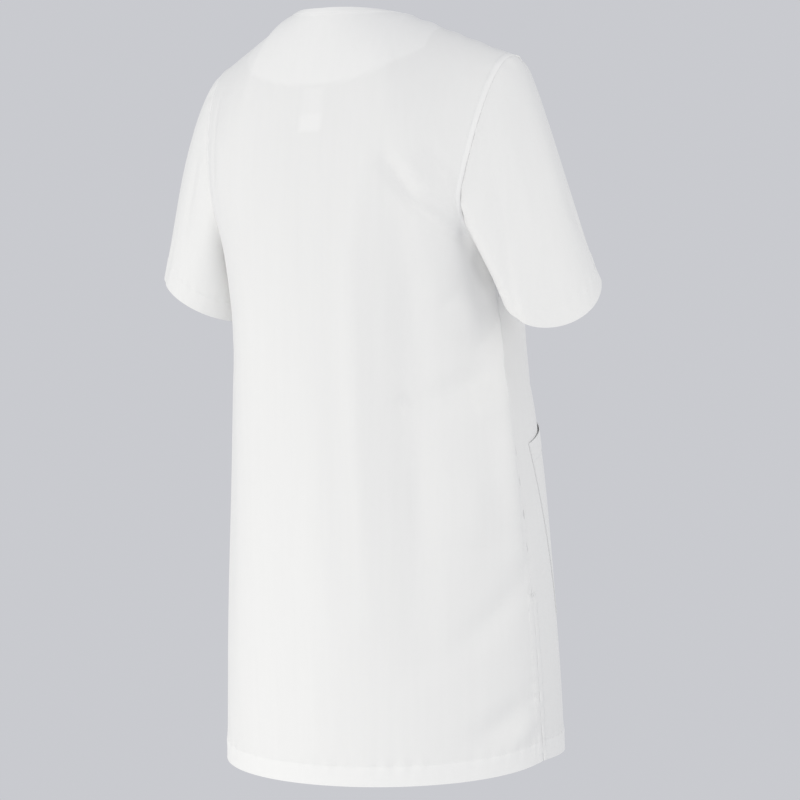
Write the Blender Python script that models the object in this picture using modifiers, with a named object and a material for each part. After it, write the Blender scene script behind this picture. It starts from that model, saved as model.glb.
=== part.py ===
"""White work tunic: a collarless, short-sleeved work tunic, filled out as on a general figure.

The front faces -Y, +Z is up and +X is the wearer's left side. Heights are measured from the
shoulder line beside the neck, where the shoulders carry the tunic, so nearly all are below zero.
All sizes are in metres.
"""

from collections import namedtuple
import math

import bmesh
import bpy
import numpy as np

# ---------------------------------------------------------------- cloth and sewing

CLOTH = 0.0012          # wall of a single layer
HEM_CLOTH = 0.0021      # wall where the cloth is turned up and sewn down
TRIM_CLOTH = 0.0010     # neck facing, label and pockets
SEAM_GAP = 0.0003       # between two pieces at a seam
LAID_GAP = 0.0006       # between a panel and a pocket or label laid on it
FACING_GAP = 0.0014     # between the back and its facing, which bends round the neck
SHOULDER_GAP = 0.0007   # the same at the shoulder seams, where the two walls turn
ARMHOLE_GAP = 0.0009    # and at the armholes

# ---------------------------------------------------------------- the torso's sections

# square is the section's power: 2 is an ellipse, and more is flatter with rounder corners.
Section = namedtuple("Section", "height half_width side_y back_y front_y square")

TORSO = [
    Section(-0.765, 0.1790, -0.0620, 0.0720, -0.234, 2.00),
    Section(-0.720, 0.1775, -0.0600, 0.0740, -0.233, 2.00),
    Section(-0.578, 0.1705, -0.0530, 0.0830, -0.224, 2.00),
    Section(-0.469, 0.1625, -0.0440, 0.0870, -0.215, 2.00),
    Section(-0.385, 0.1550, -0.0350, 0.0900, -0.202, 2.02),
    Section(-0.325, 0.1485, -0.0290, 0.0910, -0.190, 2.10),
    Section(-0.240, 0.1500, -0.0240, 0.0920, -0.166, 2.45),
    Section(-0.175, 0.1610, -0.0220, 0.0910, -0.140, 2.90),
    Section(-0.100, 0.1660, -0.0220, 0.0830, -0.110, 3.00),
    Section(0.010, 0.1660, -0.0220, 0.0560, -0.060, 3.00),
]

# ---------------------------------------------------------------- shoulders, neck and armholes

NECK_POINT = (0.066, -0.012, -0.0075)
BACK_NECK = (0.056, 0.001)          # y and height at the middle of the back neck
V_POINT = (-0.128, -0.155)          # y and height of the V neck's point
SHOULDER_TIP = (0.169, -0.029, -0.050)
UNDERARM_HEIGHT = -0.240
SIDE_HEM_HEIGHT = -0.740
SLIT_TOP_HEIGHT = -0.580
SLIT_OPENING = 0.0016               # how far each side of the slit draws back at the hem

# The left shoulder sits a little higher than the right one.
LEFT_SHOULDER_RISE = 0.006
RISE_FROM = (0.000, -0.230)         # it starts this far out and this high up
RISE_FULL = (0.080, -0.060)         # and is whole from here

# A panel is described once for its half and mirrored. across_y and across_height are where its
# armhole runs furthest in, over is the angle in degrees through which the cloth turns up to the
# shoulder seam, and neck_column is the share of a row that ends on the neck edge.
Panel = namedtuple("Panel", "name across_y across_height over middle_height hem_height "
                   "neck_column")
BACK = Panel("back", 0.044, -0.180, 97.0, -0.180, -0.762, 0.4)
FRONT = Panel("front", -0.092, -0.188, 83.0, -0.205, -0.735, 0.4)

NECK_LEAN = 0.45                    # how round the cloth below the middle of the neck is
NECK_ROUNDING = (-0.12, -0.06, 0.0, 0.06, 0.12)     # columns that round off the neck point

# How the cloth turns over to the shoulder seam: a high power keeps it upright for longer.
Over = namedtuple("Over", "u power")
OVER = [Over(0.0, 1.30), Over(0.4, 1.20), Over(0.7, 1.05), Over(1.0, 0.90)]

LOWER_ROWS = 26
QUARTER_ROWS = 7
HALF_COLUMNS = 15
HEM_CURVE = 2.0

# ---------------------------------------------------------------- sleeves

# Where and how strongly the sleeve leaves the armhole: angle 0 is the underarm, 90 the back,
# 180 the tip and 270 the front. The left sleeve stands further out over its cap.
Leaving = namedtuple("Leaving", "angle out back up")
SLEEVE_START = {
    "right": [
        Leaving(0, 0.010, -0.004, -0.020),
        Leaving(45, 0.012, 0.004, -0.030),
        Leaving(90, 0.022, 0.004, -0.050),
        Leaving(135, 0.030, 0.004, -0.040),
        Leaving(180, 0.050, -0.006, -0.030),
        Leaving(225, 0.034, -0.006, -0.040),
        Leaving(270, 0.024, 0.002, -0.050),
        Leaving(315, 0.014, -0.006, -0.030),
        Leaving(360, 0.010, -0.004, -0.020),
    ],
    "left": [
        Leaving(0, 0.012, -0.004, -0.020),
        Leaving(45, 0.018, 0.006, -0.030),
        Leaving(90, 0.034, 0.010, -0.040),
        Leaving(135, 0.078, 0.004, -0.040),
        Leaving(180, 0.125, -0.006, -0.040),
        Leaving(225, 0.075, -0.006, -0.040),
        Leaving(270, 0.034, -0.006, -0.040),
        Leaving(315, 0.018, -0.006, -0.030),
        Leaving(360, 0.012, -0.004, -0.020),
    ],
}

# The cuff's middle, its half sizes out from the body and front to back, its turn about the
# vertical in degrees, how much its plane rises outwards and towards the back, and how far the
# cloth above it runs outwards and back for each metre down.
Cuff = namedtuple("Cuff", "side out y height half_out half_deep turn rise_out rise_back "
                  "fall_out fall_back")
CUFFS = [
    Cuff("right", 0.201, -0.038, -0.276, 0.0445, 0.055, 7.0, -0.44, -0.65, 0.25, -0.35),
    Cuff("left", 0.2005, -0.031, -0.274, 0.0465, 0.062, 8.0, 0.62, -0.11, 0.35, -0.13),
]
SLEEVE_ROWS = 14
SLEEVE_FALL = 0.09                  # how long the sleeve keeps its last direction

# ---------------------------------------------------------------- pieces laid on a panel

FACING_DEPTH = 0.078                # below the middle of the back neck
FACING_DROP = 0.10                  # rows between its top edge and the neck edge
FACING_COLUMN = 0.59                # where it meets the shoulder seam, as a share of a row
FACING_REACH = 0.125                # how far out its foot would come up to the neck's height
LABEL_TOP_HEIGHT = -0.079
LABEL_FOOT_HEIGHT = -0.123
LABEL_HALF_WIDTH = 0.0125
POCKET_FRONT_COLUMN = 0.20          # pocket edges, as shares of the front's half row
POCKET_BACK_TOP_COLUMN = 0.89       # the back edge slants away from the side seam
POCKET_BACK_FOOT_COLUMN = 0.70
POCKET_LOW_TOP = -0.428             # the slanted opening rises towards the middle
POCKET_HIGH_TOP = -0.380
POCKET_FOOT = -0.600

# ---------------------------------------------------------------- folds

# A fold runs from (across, height) to (across, height) on its panel, where across is 0 at the
# middle, -1 at the wearer's right edge and 1 at the left. rise is how far it stands out.
Fold = namedtuple("Fold", "panel across top_height to_across foot_height half_width rise")
FOLDS = [
    Fold("back", -0.26, -0.150, -0.24, -0.560, 0.026, 0.0035),
    Fold("back", -0.42, -0.150, -0.50, -0.600, 0.026, -0.0040),
    Fold("back", -0.88, -0.235, -0.88, -0.400, 0.026, 0.0055),
    Fold("back", -0.40, -0.155, -0.80, -0.230, 0.024, -0.0030),
    Fold("back", -0.52, -0.145, -0.80, -0.205, 0.024, 0.0022),
    Fold("back", -0.90, -0.355, -0.50, -0.398, 0.028, -0.0035),
    Fold("back", -0.88, -0.560, -0.62, -0.645, 0.030, -0.0024),
    Fold("back", -0.92, -0.680, -0.66, -0.726, 0.028, -0.0030),
    Fold("back", 0.55, -0.160, 0.62, -0.620, 0.030, -0.0025),
    Fold("front", 0.00, -0.280, 0.00, -0.740, 0.030, -0.0030),
]

WHITE = (0.86, 0.87, 0.87, 1.0)
CLOTH_ROUGHNESS = 0.85


# ---------------------------------------------------------------- curves


def hermite(start, start_slope, end, end_slope, t):
    """The cubic from start to end with the given slopes."""
    t2, t3 = t * t, t * t * t
    return (
        (2 * t3 - 3 * t2 + 1) * start
        + (t3 - 2 * t2 + t) * start_slope
        + (3 * t2 - 2 * t3) * end
        + (t3 - t2) * end_slope
    )


def smooth_through(places, values, at):
    """A smooth curve through values at rising places, read at the place at."""
    places, values = np.array(places), np.array(values, dtype=float)
    slopes = np.gradient(values, places, axis=0)
    at = min(max(at, places[0]), places[-1])
    i = min(int(np.searchsorted(places, at, side="right")) - 1, len(places) - 2)
    span = places[i + 1] - places[i]
    t = (at - places[i]) / span
    return hermite(values[i], slopes[i] * span, values[i + 1], slopes[i + 1] * span, t)


def torso(name, height):
    """One column of the torso's table at a height."""
    places = [section.height for section in TORSO]
    values = [getattr(section, name) for section in TORSO]
    return float(smooth_through(places, values, height))


def blend(start, end, share):
    return start + (end - start) * share


def over_power(u):
    """How late the cloth of a column turns over towards the shoulder seam."""
    return float(smooth_through([place.u for place in OVER], [place.power for place in OVER], u))


def widening(share):
    """The armhole reaches the shoulder's width well before it reaches the tip."""
    return 1.0 - (1.0 - share) ** 2.5


# ---------------------------------------------------------------- edges that pieces share


def middle_y(panel, height):
    return torso("back_y" if panel is BACK else "front_y", height)


def round_point(panel, angle, height):
    """On the torso's section at a height: angle 0 is the middle and pi/2 is the side."""
    power = 2.0 / torso("square", height)
    return np.array([torso("half_width", height) * math.sin(angle) ** power,
                     blend(torso("side_y", height), middle_y(panel, height),
                           max(math.cos(angle), 0.0) ** power), height])


def armhole_angle(panel, turn):
    """Where the armhole's lower half cuts the section: turn 0 is the underarm."""
    reach = math.sin(math.radians(turn))
    height = blend(UNDERARM_HEIGHT, panel.across_height, 1.0 - math.cos(math.radians(turn)))
    side = torso("side_y", height)
    share = reach * (panel.across_y - side) / (middle_y(panel, height) - side)
    return math.acos(min(share ** (torso("square", height) / 2.0), 1.0)), height


def armhole_low(panel, turn):
    """From the underarm (0) to where the armhole runs furthest in (90 degrees)."""
    angle, height = armhole_angle(panel, turn)
    return round_point(panel, angle, height)


def armhole_high(panel, turn):
    """From there (0) to the shoulder tip (90 degrees)."""
    start, end = armhole_low(panel, 90.0), np.array(SHOULDER_TIP)
    rise, reach = turned_over(turn / 90.0, panel.over, over_power(1.0))
    return np.array([blend(start[0], end[0], widening(turn / 90.0)),
                     blend(start[1], end[1], reach), blend(start[2], end[2], rise)])


def turned_over(share, degrees, power):
    """How far up and how far over the cloth is, where it turns through so many degrees."""
    full = math.radians(degrees)
    rise = math.sin(share * full) / math.sin(full)
    reach = ((1.0 - math.cos(share * full)) / (1.0 - math.cos(full))) ** power
    return rise, reach


def top_edge(panel, u):
    """The neck edge up to the neck column, then the shoulder seam to the tip."""
    neck = np.array(NECK_POINT)
    if u >= panel.neck_column:
        share = (u - panel.neck_column) / (1.0 - panel.neck_column)
        return blend(neck, np.array(SHOULDER_TIP), share)
    share = u / panel.neck_column
    if panel is BACK:
        angle = share * math.pi / 2
        return np.array([neck[0] * math.sin(angle), blend(neck[1], BACK_NECK[0], math.cos(angle)),
                         blend(BACK_NECK[1], neck[2], 1 - math.cos(angle))])
    forward = blend(1.0 - share, math.cos(share * math.pi / 2), 0.75)
    return np.array([neck[0] * share, blend(neck[1], V_POINT[0], forward),
                     blend(V_POINT[1], neck[2], share)])


# ---------------------------------------------------------------- a panel's points


def ease(value, start, end):
    """0 before start, 1 after end and smooth between them."""
    share = np.clip((value - start) / (end - start), 0.0, 1.0)
    return share * share * (3.0 - 2.0 * share)


def with_left_shoulder(points):
    """The points with the left shoulder raised."""
    rise = (ease(points[..., 0], RISE_FROM[0], RISE_FULL[0])
            * ease(points[..., 2], RISE_FROM[1], RISE_FULL[1]) * LEFT_SHOULDER_RISE)
    return points + rise[..., None] * np.array([0.0, 0.0, 1.0])


def lower_point(panel, u, share):
    """Below the underarm: share runs from 0 at the hem to 1."""
    drop = blend(panel.hem_height, SIDE_HEM_HEIGHT, u ** HEM_CURVE)
    return round_point(panel, u * math.pi / 2, blend(drop, UNDERARM_HEIGHT, share))


def armhole_row_point(panel, u, share):
    """Beside the lower half of the armhole: share 0 is the underarm row."""
    angle, end_height = armhole_angle(panel, 90.0 * share)
    height = blend(UNDERARM_HEIGHT, panel.middle_height, share)
    return round_point(panel, u * angle, blend(height, end_height, u * u))


def softened_edge(panel, u, share):
    """The top edge, with its corner at the neck point rounded off in the rows below it."""
    near = sum(top_edge(panel, min(max(u + step, 0.0), 1.0)) for step in NECK_ROUNDING) / 5
    amount = math.exp(-((u - panel.neck_column) / 0.10) ** 2) * (1.0 - share ** 3)
    return blend(top_edge(panel, u), near, amount)


def turned_point(panel, u, share):
    """Above that, turning over to the neck edge and the shoulder seam at share 1."""
    start = armhole_row_point(panel, u, 1.0)
    end = softened_edge(panel, u, share)
    shoulder = float(ease(u, 0.0, panel.neck_column))
    rounding = blend(NECK_LEAN, 1.0, shoulder)
    rise, reach = turned_over(share, blend(90.0, panel.over, shoulder), over_power(u))
    rise = blend(share, rise, rounding)
    reach = blend(share, reach, rounding)
    across = blend(share, widening(share), u)
    return np.array([blend(start[0], end[0], across), blend(start[1], end[1], reach),
                     blend(start[2], end[2], rise)])


def upper_point(panel, u, share):
    """The same, leaving the rows below it without a crease."""
    start = armhole_row_point(panel, u, 1.0)
    below = start - armhole_row_point(panel, u, 0.9)
    leaving_rate = (turned_point(panel, u, 0.02) - start) / 0.02
    wanted = below * leaving_rate[2] / below[2]
    fade = share * (1.0 - share) ** 3 * (1.0 - u ** 4)
    return turned_point(panel, u, share) + (wanted - leaving_rate) * fade


def half_panel(panel):
    """Rows of points from the hem up, each from the middle out to the wearer's left edge."""
    columns = [i / HALF_COLUMNS for i in range(HALF_COLUMNS + 1)]
    rows = [[lower_point(panel, u, i / LOWER_ROWS) for u in columns]
            for i in range(LOWER_ROWS + 1)]
    for part in (armhole_row_point, upper_point):
        rows += [[part(panel, u, (i + 1) / QUARTER_ROWS) for u in columns]
                 for i in range(QUARTER_ROWS)]
    return np.array(rows)


def forward_normals(points):
    """The unit normals of a grid, towards -Y, for rows upwards and columns towards +X."""
    along_rows = np.gradient(points, axis=0)
    along_columns = np.gradient(points, axis=1)
    normals = np.cross(along_columns, along_rows)
    return normals / np.linalg.norm(normals, axis=2, keepdims=True)


def fold_lift(fold, across, height):
    """How far a fold lifts the cloth at a place on its panel."""
    top = np.array([fold.across, fold.top_height])
    foot = np.array([fold.to_across, fold.foot_height])
    row_width = 0.24                # metres of cloth from the middle to the side
    scale = np.array([row_width, 1.0])
    run = (foot - top) * scale
    offset = (np.stack([across, height], axis=-1) - top) * scale
    share = np.clip(offset @ run / (run @ run), 0.0, 1.0)
    gap = np.linalg.norm(offset - share[..., None] * run, axis=-1)
    profile = np.cos(np.clip(gap / fold.half_width, 0.0, 1.0) * math.pi / 2) ** 2
    fade = np.sin(np.clip(share, 0.04, 0.96) * math.pi) ** 0.6
    return fold.rise * profile * fade


def folded(panel, points):
    """The panel's points, moved out or in by its folds, and left still at its edges."""
    count = points.shape[1]
    across = np.broadcast_to(np.linspace(-1.0, 1.0, count), points.shape[:2])
    lift = np.zeros(points.shape[:2])
    for fold in FOLDS:
        if fold.panel == panel.name:
            lift += fold_lift(fold, across, points[..., 2])
    lift *= np.clip((1.0 - np.abs(across)) / 0.12, 0.0, 1.0)
    lift[-1] = 0.0
    facing = 1.0 if panel is BACK else -1.0
    return points - forward_normals(points) * (lift * facing)[..., None]


def drawn_back(edge, neighbour, distance):
    """Edge points moved towards their neighbours, which opens a seam's gap."""
    away = neighbour - edge
    return edge + away / np.linalg.norm(away, axis=-1, keepdims=True) * np.array(distance)[..., None]


def whole_panel(panel):
    """The panel from the wearer's right edge to the left one, with its seams' gaps."""
    half = half_panel(panel)
    heights = half[:, -1, 2]
    slit = np.clip((SLIT_TOP_HEIGHT - heights) / (SLIT_TOP_HEIGHT - SIDE_HEM_HEIGHT), 0, 1)
    half[:, -1] = drawn_back(half[:, -1], half[:, -2], SEAM_GAP / 2 + slit * SLIT_OPENING)
    first = round(panel.neck_column * HALF_COLUMNS)
    count = HALF_COLUMNS + 1 - first
    half[-1, first:] = drawn_back(half[-1, first:], half[-2, first:],
                                  np.full(count, SHOULDER_GAP / 2))
    mirrored = half[:, :0:-1] * np.array([-1.0, 1.0, 1.0])
    whole = np.concatenate([mirrored, half], axis=1)
    return folded(panel, with_left_shoulder(whole))


# ---------------------------------------------------------------- a sleeve's points


def armhole(angle):
    """The armhole all round, from the underarm over the back, the tip and the front."""
    if angle <= 90:
        return armhole_low(BACK, angle)
    if angle <= 180:
        return armhole_high(BACK, angle - 90)
    if angle <= 270:
        return armhole_high(FRONT, 270 - angle)
    return armhole_low(FRONT, 360 - angle)


def cuff_point(cuff, angle):
    """The cuff's edge: angle 0 faces the body and 90 faces back."""
    turned = math.radians(angle)
    out = -math.cos(turned) * cuff.half_out
    deep = math.sin(turned) * cuff.half_deep
    swing = math.radians(cuff.turn)
    out, deep = (out * math.cos(swing) - deep * math.sin(swing),
                 out * math.sin(swing) + deep * math.cos(swing))
    return np.array([cuff.out + out, cuff.y + deep,
                     cuff.height + out * cuff.rise_out + deep * cuff.rise_back])


def leaving(side, angle):
    """The direction and strength with which the sleeve leaves the armhole."""
    places = [row.angle for row in SLEEVE_START[side]]
    values = [row[1:] for row in SLEEVE_START[side]]
    return smooth_through(places, values, angle)


def sleeve_points(cuff):
    """Rows from the armhole down to the cuff, each once round from the underarm."""
    count = 4 * QUARTER_ROWS
    fall = np.array([cuff.fall_out, cuff.fall_back, -1.0])
    fall *= SLEEVE_FALL / np.linalg.norm(fall)
    rings = []
    for row in range(SLEEVE_ROWS + 1):
        t = row / SLEEVE_ROWS
        ring = []
        for i in range(count):
            angle = 360.0 * i / count
            start = armhole(angle)
            ring.append(hermite(start, leaving(cuff.side, angle), cuff_point(cuff, angle),
                                fall, t))
        rings.append(ring)
    points = np.array(rings)
    points[0] = drawn_back(points[0], points[1], np.full(count, ARMHOLE_GAP))
    side = 1.0 if cuff.side == "left" else -1.0
    return with_left_shoulder(points * np.array([side, 1.0, 1.0]))


# ---------------------------------------------------------------- meshes


def read_grid(points, row, column):
    """A point between a grid's rows and columns."""
    i = min(int(row), points.shape[0] - 2)
    j = min(int(column), points.shape[1] - 2)
    lower = blend(points[i, j], points[i, j + 1], column - j)
    upper = blend(points[i + 1, j], points[i + 1, j + 1], column - j)
    return blend(lower, upper, row - i)


def sheet(name, points, wall, closed=False, flip=False, hem_rows=()):
    """An open sheet of cloth through a grid of points, given its wall by Solidify."""
    rows, columns = points.shape[:2]
    mesh = bmesh.new()
    grid = [[mesh.verts.new(point) for point in row] for row in points]
    spans = columns if closed else columns - 1
    for i in range(rows - 1):
        for j in range(spans):
            k = (j + 1) % columns
            corners = [grid[i][j], grid[i][k], grid[i + 1][k], grid[i + 1][j]]
            mesh.faces.new(corners[::-1] if flip else corners)
    data = bpy.data.meshes.new(name)
    mesh.to_mesh(data)
    mesh.free()
    data.shade_smooth()
    piece = bpy.data.objects.new(name, data)
    tunic.objects.link(piece)
    solid = piece.modifiers.new("Wall", "SOLIDIFY")
    solid.thickness = wall
    solid.offset = -1.0
    if len(hem_rows):
        group = piece.vertex_groups.new(name="Turned up")
        turned = [row * columns + j for row in hem_rows for j in range(columns)]
        group.add(turned, 1.0, "REPLACE")
        solid.thickness = HEM_CLOTH
        solid.vertex_group = group.name
        solid.thickness_vertex_group = wall / HEM_CLOTH
    return piece


def finish(piece, label):
    """The cloth's own finish, one material for each piece."""
    material = bpy.data.materials.new(label)
    material.use_nodes = True
    shader = material.node_tree.nodes["Principled BSDF"]
    shader.inputs["Base Color"].default_value = WHITE
    shader.inputs["Roughness"].default_value = CLOTH_ROUGHNESS
    shader.inputs["Metallic"].default_value = 0.0
    piece.data.materials.append(material)


# ---------------------------------------------------------------- the pieces


def make_panel(panel):
    points = whole_panel(panel)
    hem = range(0, 2)
    piece = sheet(panel.name, points, CLOTH, flip=panel is BACK, hem_rows=hem)
    finish(piece, panel.name)
    return points, piece


def make_sleeve(cuff):
    points = sleeve_points(cuff)
    hem = range(SLEEVE_ROWS - 1, SLEEVE_ROWS + 1)
    piece = sheet("sleeve_" + cuff.side, points, CLOTH, closed=True,
                  flip=cuff.side == "right", hem_rows=hem)
    finish(piece, "sleeve_" + cuff.side)


def row_at_height(points, column, height):
    """The row, with its fraction, where a column of a grid reaches a height."""
    heights = [read_grid(points, row, column)[2] for row in range(points.shape[0])]
    return float(np.interp(height, heights, range(len(heights))))


def facing_foot(x):
    """How far the facing hangs below the middle of the back neck, so far from the middle."""
    return FACING_DEPTH * (1.0 - min(abs(x) / FACING_REACH, 1.0) ** 2.2) ** 0.556


def make_facing(inside):
    """The half moon inside the back neck, sewn along the neck edge and the shoulder seams."""
    last = inside.shape[0] - 1
    middle = HALF_COLUMNS
    reach = FACING_COLUMN * HALF_COLUMNS
    columns = np.array([-reach] + list(range(-int(reach), int(reach) + 1)) + [reach])
    rows = 8
    grid = []
    for i in range(rows + 1):
        line = []
        for column in columns:
            points = [read_grid(inside, row, middle + column) for row in range(last + 1)]
            above = [point[2] - BACK_NECK[1] + facing_foot(point[0]) for point in points]
            foot = float(np.interp(0.0, above, range(last + 1)))
            line.append(read_grid(inside, blend(foot, last - FACING_DROP, i / rows), middle + column))
        grid.append(line)
    finish(sheet("back_neck_facing", np.array(grid), TRIM_CLOTH, flip=True), "back_neck_facing")


def make_label(inside):
    """The bare label that hangs inside the back, from under the facing."""
    middle = HALF_COLUMNS
    top = row_at_height(inside, middle, LABEL_TOP_HEIGHT)
    foot = row_at_height(inside, middle, LABEL_FOOT_HEIGHT)
    pitch = inside[round(top), middle + 1, 0] - inside[round(top), middle, 0]
    half = LABEL_HALF_WIDTH / pitch
    grid = [[read_grid(inside, blend(foot, top, i / 4), middle + column)
             for column in (-half, 0.0, half)] for i in range(5)]
    finish(sheet("label", np.array(grid), TRIM_CLOTH, flip=True), "label")


def make_pocket(side, outside):
    """A patch pocket with a slanted opening, on the front's outer face."""
    sign = 1 if side == "left" else -1
    near = POCKET_FRONT_COLUMN * HALF_COLUMNS
    across, rows = 12, 10
    grid = []
    for i in range(rows + 1):
        far = HALF_COLUMNS * blend(POCKET_BACK_FOOT_COLUMN, POCKET_BACK_TOP_COLUMN, i / rows)
        line = []
        for j in range(across + 1):
            share = j / across
            column = HALF_COLUMNS + sign * blend(near, far, share)
            top = blend(POCKET_HIGH_TOP, POCKET_LOW_TOP, share ** 0.9)
            upper = row_at_height(outside, column, top)
            lower = row_at_height(outside, column, POCKET_FOOT)
            line.append(read_grid(outside, blend(lower, upper, i / rows), column))
        grid.append(line[::sign])
    finish(sheet("pocket_" + side, np.array(grid), TRIM_CLOTH), "pocket_" + side)


def moved_out(points, piece, distance):
    """A panel's points, moved straight out of its outer face along the piece's own normals."""
    normals = np.array([vertex.normal for vertex in piece.data.vertices])
    return points + normals.reshape(points.shape) * distance


for old in list(bpy.data.objects):
    bpy.data.objects.remove(old, do_unlink=True)
tunic = bpy.data.collections.new("Work tunic")
bpy.context.scene.collection.children.link(tunic)

back_points, back = make_panel(BACK)
front_points, front = make_panel(FRONT)
for one in CUFFS:
    make_sleeve(one)
make_facing(moved_out(back_points, back, -(CLOTH + FACING_GAP)))
make_label(moved_out(back_points, back, -(CLOTH + LAID_GAP)))
outer_front = moved_out(front_points, front, LAID_GAP + TRIM_CLOTH)
for hand in ("right", "left"):
    make_pocket(hand, outer_front)
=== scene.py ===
# %% [markdown]
# # A white work tunic
#
# The tunic is shown filled out, as if someone had just stepped out of it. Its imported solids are
# the frame, and every piece here lies where its solid lies. Cloth is drafted as grids of points,
# so that each fold, hem and row of stitches can be placed in the cloth's own measures.

# %% Load the frame
import math
from collections import namedtuple

import bpy
import numpy as np
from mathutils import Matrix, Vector


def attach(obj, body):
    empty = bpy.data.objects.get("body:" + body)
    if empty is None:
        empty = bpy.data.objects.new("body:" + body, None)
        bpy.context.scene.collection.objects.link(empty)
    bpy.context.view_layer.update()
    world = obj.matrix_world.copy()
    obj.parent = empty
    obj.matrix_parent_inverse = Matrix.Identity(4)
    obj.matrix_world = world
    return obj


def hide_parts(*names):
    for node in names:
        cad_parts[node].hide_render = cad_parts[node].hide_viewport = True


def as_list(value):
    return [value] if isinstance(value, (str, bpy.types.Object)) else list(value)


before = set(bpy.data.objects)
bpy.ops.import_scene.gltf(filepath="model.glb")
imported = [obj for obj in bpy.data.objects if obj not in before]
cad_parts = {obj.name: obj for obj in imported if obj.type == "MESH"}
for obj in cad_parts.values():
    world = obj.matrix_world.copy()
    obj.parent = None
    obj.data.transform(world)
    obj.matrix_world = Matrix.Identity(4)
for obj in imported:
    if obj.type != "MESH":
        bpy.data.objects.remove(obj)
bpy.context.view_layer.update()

# %% [markdown]
# ## The camera
#
# The photograph looks at the back from the wearer's right, level with the middle of the tunic.
# A camera has to exist before shapes are compared, so it comes first. A long lens 3 m away
# gives the photograph's calm perspective, and a small shift puts the tunic left of the middle.

# %% Place the camera
VIEW_TURN = math.radians(33)            # from straight behind, towards the wearer's right
VIEW_DISTANCE = 3.0
VIEW_HEIGHT = -0.385                    # half way down the tunic
LENS_MM, SENSOR_MM = 135.0, 36.0
VIEW_SHIFT = 0.0531                     # in sensor widths, which moves the tunic to the left

camera_data = bpy.data.cameras.new("Level view")
camera_data.lens = LENS_MM
camera_data.sensor_width = SENSOR_MM
camera_data.shift_x = VIEW_SHIFT
camera = bpy.data.objects.new("Level view", camera_data)
camera.location = (-math.sin(VIEW_TURN) * VIEW_DISTANCE, math.cos(VIEW_TURN) * VIEW_DISTANCE,
                   VIEW_HEIGHT)
camera.rotation_euler = (math.pi / 2, 0.0, math.pi + VIEW_TURN)
bpy.context.scene.collection.objects.link(camera)
bpy.context.scene.camera = camera
print("camera at", tuple(round(x, 3) for x in camera.location))

# %% [markdown]
# ## The tunic's measures
#
# A dressmaker thinks of a body as a stack of sections, and so does this table. Each row says
# how wide the torso is at a height and where its side, back and front lie. The same few
# numbers place the neck, the shoulder tips, the armholes, the hem and the slits.

# %% Sections, neck and shoulders
Section = namedtuple("Section", "height half_width side_y back_y front_y square")
TORSO = [
    Section(-0.765, 0.1790, -0.0620, 0.0720, -0.234, 2.00),
    Section(-0.720, 0.1775, -0.0600, 0.0740, -0.233, 2.00),
    Section(-0.578, 0.1705, -0.0530, 0.0830, -0.224, 2.00),
    Section(-0.469, 0.1625, -0.0440, 0.0870, -0.215, 2.00),
    Section(-0.385, 0.1550, -0.0350, 0.0900, -0.202, 2.02),
    Section(-0.325, 0.1485, -0.0290, 0.0910, -0.190, 2.10),
    Section(-0.240, 0.1500, -0.0240, 0.0920, -0.166, 2.45),
    Section(-0.175, 0.1610, -0.0220, 0.0910, -0.140, 2.90),
    Section(-0.100, 0.1660, -0.0220, 0.0830, -0.110, 3.00),
    Section(0.010, 0.1660, -0.0220, 0.0560, -0.060, 3.00),
]
NECK_POINT = (0.066, -0.012, -0.0075)
BACK_NECK = (0.056, 0.001)              # y and height at the middle of the back neck
V_POINT = (-0.128, -0.155)              # y and height of the V neck's point
SHOULDER_TIP = (0.169, -0.029, -0.050)
UNDERARM_HEIGHT = -0.240
SIDE_HEM_HEIGHT = -0.740
SLIT_TOP_HEIGHT = -0.580
SLIT_OPENING = 0.0001
NECK_COLUMN = 0.4                       # the share of a row that ends on the neck edge
NECK_LEAN = 0.45
NECK_ROUNDING = (-0.12, -0.06, 0.0, 0.06, 0.12)     # columns that round off the neck point
HEM_CURVE = 2.0
LEFT_SHOULDER_RISE = 0.006
RISE_FROM = (0.000, -0.230)
RISE_FULL = (0.080, -0.060)
SHOULDER_GAP = 0.0002
ARMHOLE_TUCK = 0.0010                   # how far a sleeve reaches back under the armhole's edge

Panel = namedtuple("Panel", "name across_y across_height over middle_height hem_height")
BACK = Panel("back", 0.044, -0.180, 97.0, -0.180, -0.762)
FRONT = Panel("front", -0.092, -0.188, 83.0, -0.205, -0.735)

Over = namedtuple("Over", "u power")    # how late the cloth turns over to the shoulder seam
OVER = [Over(0.0, 1.30), Over(0.4, 1.20), Over(0.7, 1.05), Over(1.0, 0.90)]


# %% [markdown]
# ## Drafting a panel
#
# Each panel is half a surface, mirrored. Below the underarm a row follows the torso's section,
# beside the armhole it stops where the armhole cuts the section, and above that it turns over
# to the neck edge and the shoulder seam. The functions take whole arrays, so a fine grid costs
# no more lines than a coarse one.

# %% Curves
def blend(start, end, share):
    return start + (end - start) * share


def ease(value, start, end):
    """0 before start, 1 after end and smooth between them."""
    share = np.clip((value - start) / (end - start), 0.0, 1.0)
    return share * share * (3.0 - 2.0 * share)


def hermite(start, start_slope, end, end_slope, t):
    """The cubic from start to end with the given slopes."""
    t2, t3 = t * t, t * t * t
    return ((2 * t3 - 3 * t2 + 1) * start + (t3 - 2 * t2 + t) * start_slope
            + (3 * t2 - 2 * t3) * end + (t3 - t2) * end_slope)


def smooth_through(places, values, at):
    """A smooth curve through values at rising places, read at the places at."""
    places, values = np.array(places, dtype=float), np.array(values, dtype=float)
    slopes = np.gradient(values, places, axis=0)
    at = np.clip(at, places[0], places[-1])
    i = np.clip(np.searchsorted(places, at, side="right") - 1, 0, len(places) - 2)
    span = places[i + 1] - places[i]
    t = (at - places[i]) / span
    if values.ndim > 1:
        span, t = span[..., None], t[..., None]
    return hermite(values[i], slopes[i] * span, values[i + 1], slopes[i + 1] * span, t)


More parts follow.
